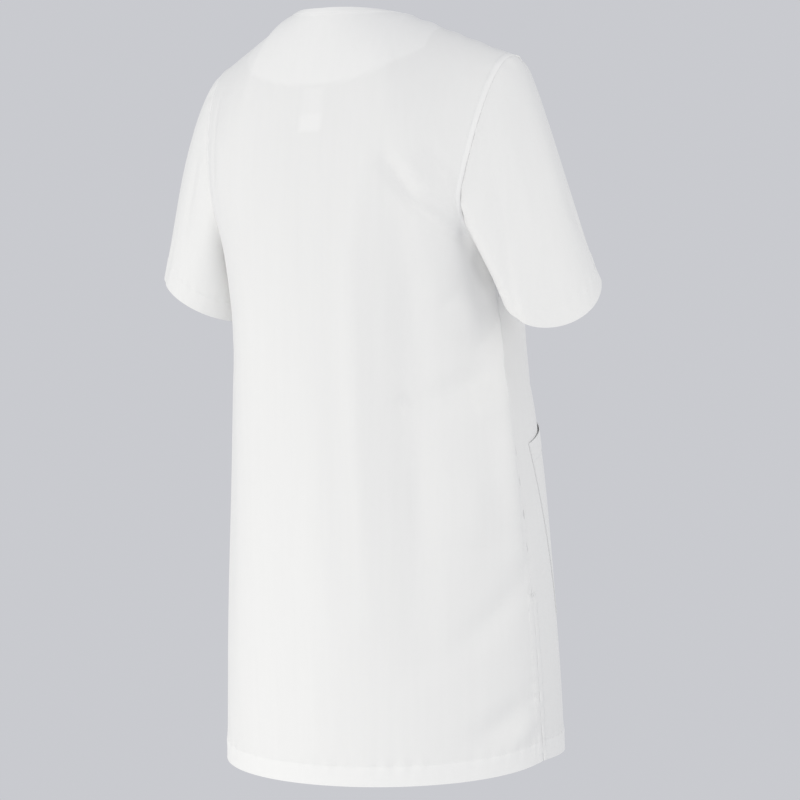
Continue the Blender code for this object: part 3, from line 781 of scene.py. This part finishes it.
# %% One cloth material for each kind of piece
def cloth_material(name, color, behind=0.0, roughness=0.82, yarns=1900.0):
    """Matt white cloth. behind is painted light: it brightens the colour where the "Backed"
    attribute is above zero, as light showing through a double layer would.
    """
    material = bpy.data.materials.new(name)
    material.use_nodes = True
    tree = material.node_tree
    shader = tree.nodes["Principled BSDF"]
    shader.inputs["Specular IOR Level"].default_value = 0.28
    shader.inputs["Sheen Weight"].default_value = 0.10
    shader.inputs["Sheen Roughness"].default_value = 0.45
    weave = add_node(tree, "ShaderNodeGroup", node_tree=weave_tree)
    weave.inputs["Yarns per metre"].default_value = yarns
    mottle = add_node(tree, "ShaderNodeGroup", node_tree=mottle_tree)
    # Painted light: the colour is brightened where cloth behind would let light show through paler.
    backed = add_node(tree, "ShaderNodeAttribute", attribute_name="Backed").outputs["Fac"]
    lit = math_node(tree, "MULTIPLY", backed, behind)
    shade = math_node(tree, "ADD", math_node(tree, "ADD", 1.0, mottle.outputs["Brightness"]), lit)
    # Painted shade: the colour is darkened a little in the gaps between the weave's yarns.
    shade = math_node(tree, "SUBTRACT", shade,
                      math_node(tree, "MULTIPLY", weave.outputs["Gap"], 0.035))
    tint = add_node(tree, "ShaderNodeVectorMath", {0: color, "Scale": shade}, operation="SCALE")
    tree.links.new(tint.outputs[0], shader.inputs["Base Color"])
    rough = math_node(tree, "ADD", roughness,
                      math_node(tree, "MULTIPLY", weave.outputs["Gap"], 0.08))
    tree.links.new(rough, shader.inputs["Roughness"])
    bump = add_node(tree, "ShaderNodeBump", {"Height": weave.outputs["Height"],
                                             "Strength": 0.22, "Distance": 0.00012})
    soft = add_node(tree, "ShaderNodeBump", {"Height": mottle.outputs["Height"],
                                             "Normal": bump.outputs[0],
                                             "Strength": 0.10, "Distance": 0.0004})
    tree.links.new(soft.outputs[0], shader.inputs["Normal"])
    return material


WHITE = (0.870, 0.870, 0.866)
work_cloth = cloth_material("White work cloth", WHITE, behind=0.045)
sleeve_cloth = cloth_material("White sleeve cloth", WHITE)
facing_cloth = cloth_material("White facing cloth", (0.88, 0.885, 0.89))
label_cloth = cloth_material("Bare label tape", (0.90, 0.90, 0.895), yarns=1300.0)
print("materials:", [material.name for material in bpy.data.materials])

# %% [markdown]
# ## The body panels
#
# The facing and the label lie inside the back, and daylight lets them show through as paler shapes.
# That paleness is painted light: an attribute on the back marks how much cloth lies behind each
# point, and the material paints that much extra light into the back's colour, most of all over the
# label's lower, folded half, a little less in the facing's half moon, and some along the armholes
# and the hem, where the cloth is turned under.

# %% What lies behind the back
FACING_DEPTH = 0.078
FACING_COLUMN = 0.59
FACING_REACH = 0.125
FACING_SHOWS = 0.90                     # how much lighter than the back it looks from outside
LABEL_TOP, LABEL_FOOT, LABEL_HALF_WIDTH = -0.079, -0.123, 0.0125

u_of_column = np.concatenate([-HALF_COLUMNS[:0:-1], HALF_COLUMNS])


def above_foot(points):
    """How far points of the back lie above the facing's rounded foot."""
    share = np.clip(np.abs(points[..., 0]) / FACING_REACH, 0.0, 1.0)
    return points[..., 2] - BACK_NECK[1] + FACING_DEPTH * (1.0 - share ** 2.2) ** 0.556


def turned_up(up):
    """How far the cloth that is turned up behind a hem shows, at distances from its edge."""
    return 0.7 * (1.0 - ease(up, HEM_STITCH - 0.0012, HEM_STITCH + 0.0012))


def seam_band(points, across):
    """Where the sleeve's seam, turned under, lies behind the edge of an armhole."""
    to_side = np.minimum(np.abs(across - across[:, :1]), np.abs(across - across[:, -1:]))
    return ease(points[..., 2], UNDERARM_HEIGHT, UNDERARM_HEIGHT + 0.01) * (
        1.0 - ease(to_side, SEAM_STITCH - 0.001, SEAM_STITCH + 0.001))


# Painted light showing through: the facing, the label, the armhole seams and the turned-up hem
# brighten the back's colour.
back_show_through_light = FACING_SHOWS * ease(above_foot(back_cloth), -0.0022, 0.0022)
back_show_through_light *= np.abs(u_of_column)[None, :] < FACING_COLUMN
label_x = ease(np.abs(back_cloth[..., 0]), LABEL_HALF_WIDTH + 0.0015, LABEL_HALF_WIDTH - 0.0015)
label_z = (ease(back_cloth[..., 2], LABEL_FOOT - 0.0015, LABEL_FOOT + 0.0015)
           * ease(back_cloth[..., 2], LABEL_TOP + 0.001, LABEL_TOP - 0.001))
doubled = 0.45 + 0.55 * (1.0 - ease(back_cloth[..., 2], -0.106, -0.103))
back_show_through_light = np.maximum(back_show_through_light, label_x * label_z * doubled)
back_show_through_light = np.maximum(back_show_through_light, seam_band(back_cloth, back_across))
back_show_through_light = np.maximum(back_show_through_light, turned_up(back_up))

# %% The back and the front
hem_rows = range(int(np.searchsorted(HEM_ROWS, 0.0385)))
back = cloth("back_cloth", back_cloth, (back_across, back_up), {"Backed": back_show_through_light},
             work_cloth, flip=True, thick_rows=hem_rows)
# Painted light showing through: the turned-up hem and the armhole seams brighten the front's
# colour.
front_show_through_light = np.maximum(turned_up(front_up), seam_band(front_cloth, front_across))
front = cloth("front_cloth", front_cloth, (front_across, front_up), {"Backed": front_show_through_light},
              work_cloth, thick_rows=hem_rows)
sewn_on(back, "back")
sewn_on(front, "front")
print("back:", len(back.data.polygons), "faces; front:", len(front.data.polygons), "faces")

# %% The sleeves
sleeves = {}
for cuff in CUFFS:
    grid, around, down = dressed_sleeve(cuff, 50 if cuff.side == "left" else 60)
    girth = around[:, -1:] * ROUND_COLUMNS / (ROUND_COLUMNS - 1)
    thick = range(int(np.searchsorted(SLEEVE_ROWS, 0.90)), len(SLEEVE_ROWS))
    band = turned_up(down[-1] - down)
    piece = cloth("sleeve_" + cuff.side + "_cloth", grid,
                  (around, -down, np.broadcast_to(girth, around.shape)), {"Backed": band},
                  sleeve_cloth, closed=True, flip=cuff.side == "right", thick_rows=thick)
    sewn_on(piece, "sleeve_" + cuff.side)
    sleeves[cuff.side] = (piece, grid, down)
    print(piece.name, len(piece.data.polygons), "faces")


# %% [markdown]
# ## Facing, label and pockets
#
# What is laid on a panel follows the panel: its points are read from the panel's grid and moved
# along the panel's normals. So the facing bends round the neck inside, the bare label hangs
# just below it, and each patch pocket keeps its small gap from the front all over.

# %% Read and move a panel's grid
def read_grid(points, row, column):
    """Points between a grid's rows and columns."""
    i = np.clip(np.floor(row).astype(int), 0, points.shape[0] - 2)
    j = np.clip(np.floor(column).astype(int), 0, points.shape[1] - 2)
    a, b = (row - i)[..., None], (column - j)[..., None]
    lower = blend(points[i, j], points[i, j + 1], b)
    upper = blend(points[i + 1, j], points[i + 1, j + 1], b)
    return blend(lower, upper, a)


def columns_at(u):
    """Where shares of a row lie among the grid's columns."""
    return np.interp(u, u_of_column, np.arange(len(u_of_column)))


def rows_at(points, column, height):
    """The rows, with their fractions, where columns of a grid reach some heights."""
    flat_column, flat_height = np.broadcast_arrays(column, height)
    rows = np.arange(points.shape[0])
    found = [np.interp(h, read_grid(points, rows, np.full(len(rows), c))[:, 2], rows)
             for c, h in zip(flat_column.reshape(-1), flat_height.reshape(-1))]
    return np.array(found).reshape(flat_column.shape)


def moved_out(panel, points, distance):
    """A panel's points, moved straight out of its outer face."""
    return points + grid_normals(points) * (-distance if panel is BACK else distance)


def laid_uv(grid):
    return run_lengths(grid, 1), run_lengths(grid, 0)


# %% The back neck facing
inside_back = moved_out(BACK, back_cloth, -(CLOTH_WALL + FACING_GAP))
FACING_GRID, LABEL_GRID = (33, 81), (25, 13)      # rows and columns
steps = np.linspace(-1.0, 1.0, FACING_GRID[1]) * FACING_COLUMN
columns = columns_at(steps)
last = inside_back.shape[0] - 1
foot = np.array([np.interp(0.0, above_foot(read_grid(
    inside_back, np.arange(last + 1), np.full(last + 1, column))), np.arange(last + 1))
    for column in columns])
share = np.linspace(0.0, 1.0, FACING_GRID[0])[:, None]
facing_grid = read_grid(inside_back, blend(foot, last - 0.8, share),
                        np.broadcast_to(columns, FACING_GRID))
facing = cloth("neck_facing_cloth", facing_grid, laid_uv(facing_grid), {"Backed": 0.0},
               facing_cloth, wall=TRIM_WALL, flip=True)
sewn_on(facing, "back_neck_facing")

# %% The label
inside_label = moved_out(BACK, back_cloth, -(CLOTH_WALL + LAID_GAP))
label_row = len(HEM_ROWS) + 15          # a row of the back a little below the label
label_u = np.interp([-LABEL_HALF_WIDTH, LABEL_HALF_WIDTH], back_cloth[label_row, :, 0],
                    u_of_column)
columns = np.broadcast_to(columns_at(np.linspace(*label_u, LABEL_GRID[1])), LABEL_GRID)
heights = np.linspace(LABEL_FOOT, LABEL_TOP, LABEL_GRID[0])[:, None]
label_grid = read_grid(inside_label, rows_at(inside_label, columns, heights), columns)
tape = cloth("label_tape", label_grid, laid_uv(label_grid), {"Backed": 0.0}, label_cloth,
             wall=TRIM_WALL, flip=True)
sewn_on(tape, "label")

# %% The pockets
POCKET_FRONT, POCKET_BACK_TOP, POCKET_BACK_FOOT = 0.20, 0.89, 0.70
POCKET_LOW_TOP, POCKET_HIGH_TOP, POCKET_FOOT = -0.428, -0.380, -0.600
POCKET_STITCH, POCKET_HEM, POCKET_GAP, POCKET_WALL = 0.0018, 0.0200, 0.0001, 0.0005
outside_front = moved_out(FRONT, front_cloth, POCKET_GAP + POCKET_WALL)


def make_pocket(side):
    """A patch pocket with a slanted opening, on the front's outer face."""
    sign = 1.0 if side == "left" else -1.0
    across = np.linspace(0.0, 1.0, 61)[None, :]
    up = joined((0.0, 0.03, 6), (0.03, 0.85, 44), (0.85, 1.0, 22))[:, None]
    far = blend(POCKET_BACK_FOOT, POCKET_BACK_TOP, up)
    column = columns_at(sign * blend(POCKET_FRONT, far, across))
    top = blend(POCKET_HIGH_TOP, POCKET_LOW_TOP, across ** 0.9)
    height = blend(POCKET_FOOT, top, up)
    grid = read_grid(outside_front, rows_at(outside_front, column, height), column)
    if side == "right":
        grid = grid[:, ::-1]
    wide, tall = laid_uv(grid)
    edge = np.minimum(np.minimum(wide, wide[:, -1:] - wide), tall)
    lift = sewn_edge(edge, wide + tall, POCKET_STITCH, 0.0004, 0.00015, 71)
    lift += sewn_edge(tall[-1] - tall, wide, POCKET_HEM, 0.0005, 0.00025, 72)
    lift += 0.0010 * ease(tall, 0.03, 0.16) * np.sin(np.clip(wide / wide[:, -1:], 0, 1) * math.pi)
    lift *= ease(edge, 0.0, 0.0016)
    grid = grid + grid_normals(grid) * lift[..., None]
    piece = cloth("pocket_" + side + "_cloth", grid, (wide, tall), {"Backed": 0.0}, work_cloth,
                  wall=POCKET_WALL)
    return sewn_on(piece, "pocket_" + side), grid


pockets = {side: make_pocket(side) for side in ("right", "left")}
print("pockets:", [piece.name for piece, grid in pockets.values()])

# %% [markdown]
# ## Stitches
#
# A sewing machine makes the same stitch over and over along a line, so Geometry Nodes make it:
# the line is divided evenly and one small thread is laid along each step. The tree has named
# inputs for the stitch's pitch, length and thickness, and a seeded wobble, because no row of
# real stitches is quite straight.

# %% The stitch tree
STITCH_PITCH, STITCH_LENGTH, THREAD = 0.0027, 0.0021, 0.00024

stitch_tree = bpy.data.node_groups.new("Row of stitches", "GeometryNodeTree")
for label, kind, value in [("Geometry", "NodeSocketGeometry", None), ("Pitch", FLOAT, STITCH_PITCH),
                           ("Length", FLOAT, STITCH_LENGTH), ("Thread", FLOAT, THREAD),
                           ("Wobble", FLOAT, 0.06), ("Thread finish", "NodeSocketMaterial", None)]:
    socket = stitch_tree.interface.new_socket(label, in_out="INPUT", socket_type=kind)
    if value is not None:
        socket.default_value = value
stitch_tree.interface.new_socket("Geometry", in_out="OUTPUT", socket_type="NodeSocketGeometry")
given = stitch_tree.nodes.new("NodeGroupInput").outputs
made = stitch_tree.nodes.new("NodeGroupOutput").inputs
line = add_node(stitch_tree, "GeometryNodeMeshToCurve", {"Mesh": given["Geometry"]})
even = add_node(stitch_tree, "GeometryNodeResampleCurve",
                {"Curve": line.outputs[0], "Length": given["Pitch"]}, mode="LENGTH")
tangent = add_node(stitch_tree, "GeometryNodeInputTangent")
wobble = add_node(stitch_tree, "FunctionNodeRandomValue", {"Seed": 7}, data_type="FLOAT_VECTOR")
wobble.inputs[0].default_value = (-1.0, -1.0, -1.0)
offset = add_node(stitch_tree, "ShaderNodeVectorMath",
                  {0: wobble.outputs[0], "Scale": given["Wobble"]}, operation="SCALE")
aim = add_node(stitch_tree, "ShaderNodeVectorMath",
               {0: tangent.outputs[0], 1: offset.outputs[0]}, operation="ADD")
turn = add_node(stitch_tree, "FunctionNodeAlignRotationToVector", {"Vector": aim.outputs[0]},
                axis="Z")
half_length = add_node(stitch_tree, "ShaderNodeMath", {0: given["Length"], 1: 0.5},
                       operation="MULTIPLY")
size = add_node(stitch_tree, "ShaderNodeCombineXYZ", {0: given["Thread"], 1: given["Thread"],
                                                      2: half_length.outputs[0]})
thread = add_node(stitch_tree, "GeometryNodeMeshUVSphere",
                  {"Segments": 6, "Rings": 4, "Radius": 1.0})
copies = add_node(stitch_tree, "GeometryNodeInstanceOnPoints",
                  {"Points": even.outputs[0], "Instance": thread.outputs[0],
                   "Rotation": turn.outputs[0], "Scale": size.outputs[0]})
real = add_node(stitch_tree, "GeometryNodeRealizeInstances", {0: copies.outputs[0]})
round_off = add_node(stitch_tree, "GeometryNodeSetShadeSmooth", {0: real.outputs[0]})
finished = add_node(stitch_tree, "GeometryNodeSetMaterial",
                    {"Geometry": round_off.outputs[0], "Material": given["Thread finish"]})
stitch_tree.links.new(finished.outputs[0], made[0])

thread_material = cloth_material("White sewing thread", (0.90, 0.905, 0.91), yarns=5200.0,
                                 roughness=0.6)


# %% Lay rows of stitches along lines of points
def stitch_rows(name, lines, pitch=STITCH_PITCH, length=STITCH_LENGTH, thickness=THREAD):
    """One piece of thread for some lines of points, each a row of stitches."""
    points, edges = [], []
    for one in lines:
        first = len(points)
        points += [tuple(point) for point in one]
        edges += [(i, i + 1) for i in range(first, len(points) - 1)]
    mesh = bpy.data.meshes.new(name)
    mesh.from_pydata(points, edges, [])
    piece = bpy.data.objects.new(name, mesh)
    bpy.context.scene.collection.objects.link(piece)
    nodes = piece.modifiers.new("Stitches", "NODES")
    nodes.node_group = stitch_tree
    values = {"Pitch": pitch, "Length": length, "Thread": thickness,
              "Thread finish": thread_material}
    for item in stitch_tree.interface.items_tree:
        if item.in_out == "INPUT" and item.name in values:
            nodes[item.identifier] = values[item.name]
    applied(piece)
    return sewn_on(piece)


def inset_line(grid, distance, side, lift, outward):
    """The line that runs a distance inside a grid's edge: top, foot, first or last."""
    lines = {"top": grid[::-1].transpose(1, 0, 2), "foot": grid.transpose(1, 0, 2),
             "first": grid, "last": grid[:, ::-1]}[side]
    normals = outward * grid_normals(grid)
    ways = {"top": normals[::-1].transpose(1, 0, 2), "foot": normals.transpose(1, 0, 2),
            "first": normals, "last": normals[:, ::-1]}[side]
    found = []
    for line, way in zip(lines, ways):
        run = np.concatenate([[0.0], np.cumsum(np.linalg.norm(np.diff(line, axis=0), axis=1))])
        at = [np.interp(distance, run, line[:, k]) for k in range(3)]
        up = [np.interp(distance, run, way[:, k]) for k in range(3)]
        found.append(np.array(at) + lift * np.array(up))
    return np.array(found)


THREAD_LIFT = 0.00010
neck_columns = np.abs(u_of_column) <= NECK_COLUMN - 0.012
armhole_rows = np.arange(back_cloth.shape[0]) >= len(HEM_ROWS) + 2
lines = {"back": [], "front": []}
for name, grid, outward in (("back", back_cloth, -1.0), ("front", front_cloth, 1.0)):
    lines[name].append(inset_line(grid[:, neck_columns], NECK_STITCH, "top", THREAD_LIFT, outward))
    lines[name].append(inset_line(grid, HEM_STITCH, "foot", THREAD_LIFT, outward)[3:-3])
    for side in ("first", "last"):
        lines[name].append(inset_line(grid[armhole_rows], SEAM_STITCH, side, THREAD_LIFT,
                                      outward)[:-4])
        lines[name].append(inset_line(grid[grid[:, 0, 2] < SLIT_TOP_HEIGHT - 0.004], SLIT_STITCH,
                                      side, THREAD_LIFT, outward)[2:])
for name in ("back", "front"):
    stitch_rows(name + "_stitches", lines[name])

# %% Stitches on the sleeves and the pockets
for side, (piece, grid, down) in sleeves.items():
    way = -1.0 if side == "left" else 1.0
    loop = inset_line(np.concatenate([grid, grid[:, :1]], axis=1), HEM_STITCH, "top",
                      THREAD_LIFT, way)
    stitch_rows("sleeve_" + side + "_stitches", [loop])
for side, (piece, grid) in pockets.items():
    rows = [inset_line(grid, POCKET_STITCH, edge, THREAD_LIFT, 1.0)
            for edge in ("first", "last", "foot")]
    rows.append(inset_line(grid, POCKET_HEM, "top", THREAD_LIFT, 1.0))
    stitch_rows("pocket_" + side + "_stitches", rows)

# %% [markdown]
# A bar tack closes the top of each slit: a dense little block of stitches that runs across the
# seam and takes the strain. It uses the same tree, with the stitches set close together.

# %% Bar tacks at the slits
def bar_tack(side):
    """Short rows across the side seam, at the slit's top."""
    edge = 0 if side == "right" else -1
    step = 1 if side == "right" else -1
    rows = []
    for lift_rows in np.linspace(0.0, 0.9, 3):
        line = []
        for grid, outward, order in ((back_cloth, -1.0, 1), (front_cloth, 1.0, -1)):
            near = int(np.argmin(np.abs(grid[:, edge, 2] - SLIT_TOP_HEIGHT)))
            normals = grid_normals(grid) * outward
            part = [blend(grid[near, edge + step * k], grid[near + 1, edge + step * k], lift_rows)
                    + 0.00035 * normals[near, edge + step * k] for k in range(5)]
            line += part[::-1] if order == 1 else part
        rows.append(np.array(line))
    return stitch_rows("bar_tack_" + side, rows, 0.0009, 0.0016, 0.00030)


for side in ("right", "left"):
    bar_tack(side)

# %% [markdown]
#
# Each cloth piece is a sheet, and this table lists its cut, what a cutter would have laid on the
# table: its width, its length, the area of its outline and the pieces it rests on. The tunic hangs
# from its shoulder seams. The area of each finished piece is printed beside its cut.

# %% Flat sizes
Cut = namedtuple("Cut", "piece width length area rests_on")
CUTS = [
    Cut(back, 0.48, 0.80, 0.333, ()),
    Cut(front, 0.56, 0.78, 0.344, ("back_cloth",)),
    Cut(sleeves["right"][0], 0.34, 0.22, 0.0475, ("back_cloth", "front_cloth")),
    Cut(sleeves["left"][0], 0.34, 0.23, 0.0525, ("back_cloth", "front_cloth")),
    Cut(facing, 0.22, 0.10, 0.0189, ("back_cloth",)),
    Cut(tape, 0.026, 0.045, None, ("back_cloth",)),
    Cut(pockets["right"][0], 0.18, 0.23, 0.032, ("front_cloth",)),
    Cut(pockets["left"][0], 0.18, 0.23, 0.032, ("front_cloth",)),
]
for cut in CUTS:
    area = sum(face.area for face in cut.piece.data.polygons) / 2
    print(cut.piece.name, "measures", round(area, 4), "square metres, cut", cut.area)
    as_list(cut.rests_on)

# %% [markdown]
# ## Light, floor and background
#
# White cloth needs soft light with a direction, or its folds vanish. A pale sky on all sides
# gives the soft part. A broad sun from behind the tunic's back gives most of the rest, a square
# lamp low on the camera's left brightens that side, and one on the camera's right keeps the
# tunic's side from going dark. The floor lies well below the hem.

# %% Studio
BACKGROUND = (0.584, 0.592, 0.624)      # the photograph's cool, pale grey, in linear values
FLOOR_HEIGHT, FLOOR_RADIUS = -1.40, 1.5

world = bpy.data.worlds.new("Pale studio")
bpy.context.scene.world = world
world.use_nodes = True
sky = world.node_tree.nodes["Background"]
sky.inputs["Color"].default_value = (*BACKGROUND, 1.0)
sky.inputs["Strength"].default_value = 1.0

bpy.ops.mesh.primitive_circle_add(vertices=96, radius=FLOOR_RADIUS, fill_type="NGON",
                                  location=(0.0, 0.0, FLOOR_HEIGHT))
floor = bpy.context.object
floor.name = "studio_floor"
floor_material = bpy.data.materials.new("Pale floor")
floor_material.use_nodes = True
floor_shader = floor_material.node_tree.nodes["Principled BSDF"]
floor_shader.inputs["Base Color"].default_value = (0.86, 0.865, 0.88, 1.0)
floor_shader.inputs["Roughness"].default_value = 0.9
floor.data.materials.append(floor_material)

LIGHT_COLOR = (1.0, 0.98, 0.90)         # a touch warm, so that the white comes out neutral


def light(name, kind, turn, height, distance, power, size):
    """A soft lamp aimed at the tunic, turned from straight behind towards the wearer's right.

    A sun's size is the angle it spans in degrees, and a square lamp's is its side in metres.
    """
    data = bpy.data.lights.new(name, kind)
    data.energy, data.color = power, LIGHT_COLOR
    if kind == "SUN":
        data.angle = math.radians(size)
    else:
        data.size = size
    lamp = bpy.data.objects.new(name, data)
    turn = math.radians(turn)
    lamp.location = (-math.sin(turn) * distance, math.cos(turn) * distance, height)
    away = lamp.location - Vector((0.0, 0.0, VIEW_HEIGHT))
    lamp.rotation_euler = away.to_track_quat("Z", "Y").to_euler()
    bpy.context.scene.collection.objects.link(lamp)


light("Behind", "SUN", 0.0, 0.20, 3.0, 0.94, 20.0)
light("Low left", "AREA", -45.0, -1.00, 1.8, 6.5, 1.0)
light("Low right", "AREA", 98.0, -0.30, 1.3, 3.9, 0.8)
view = bpy.context.scene.view_settings
view.view_transform = "Standard"
view.look = "None"
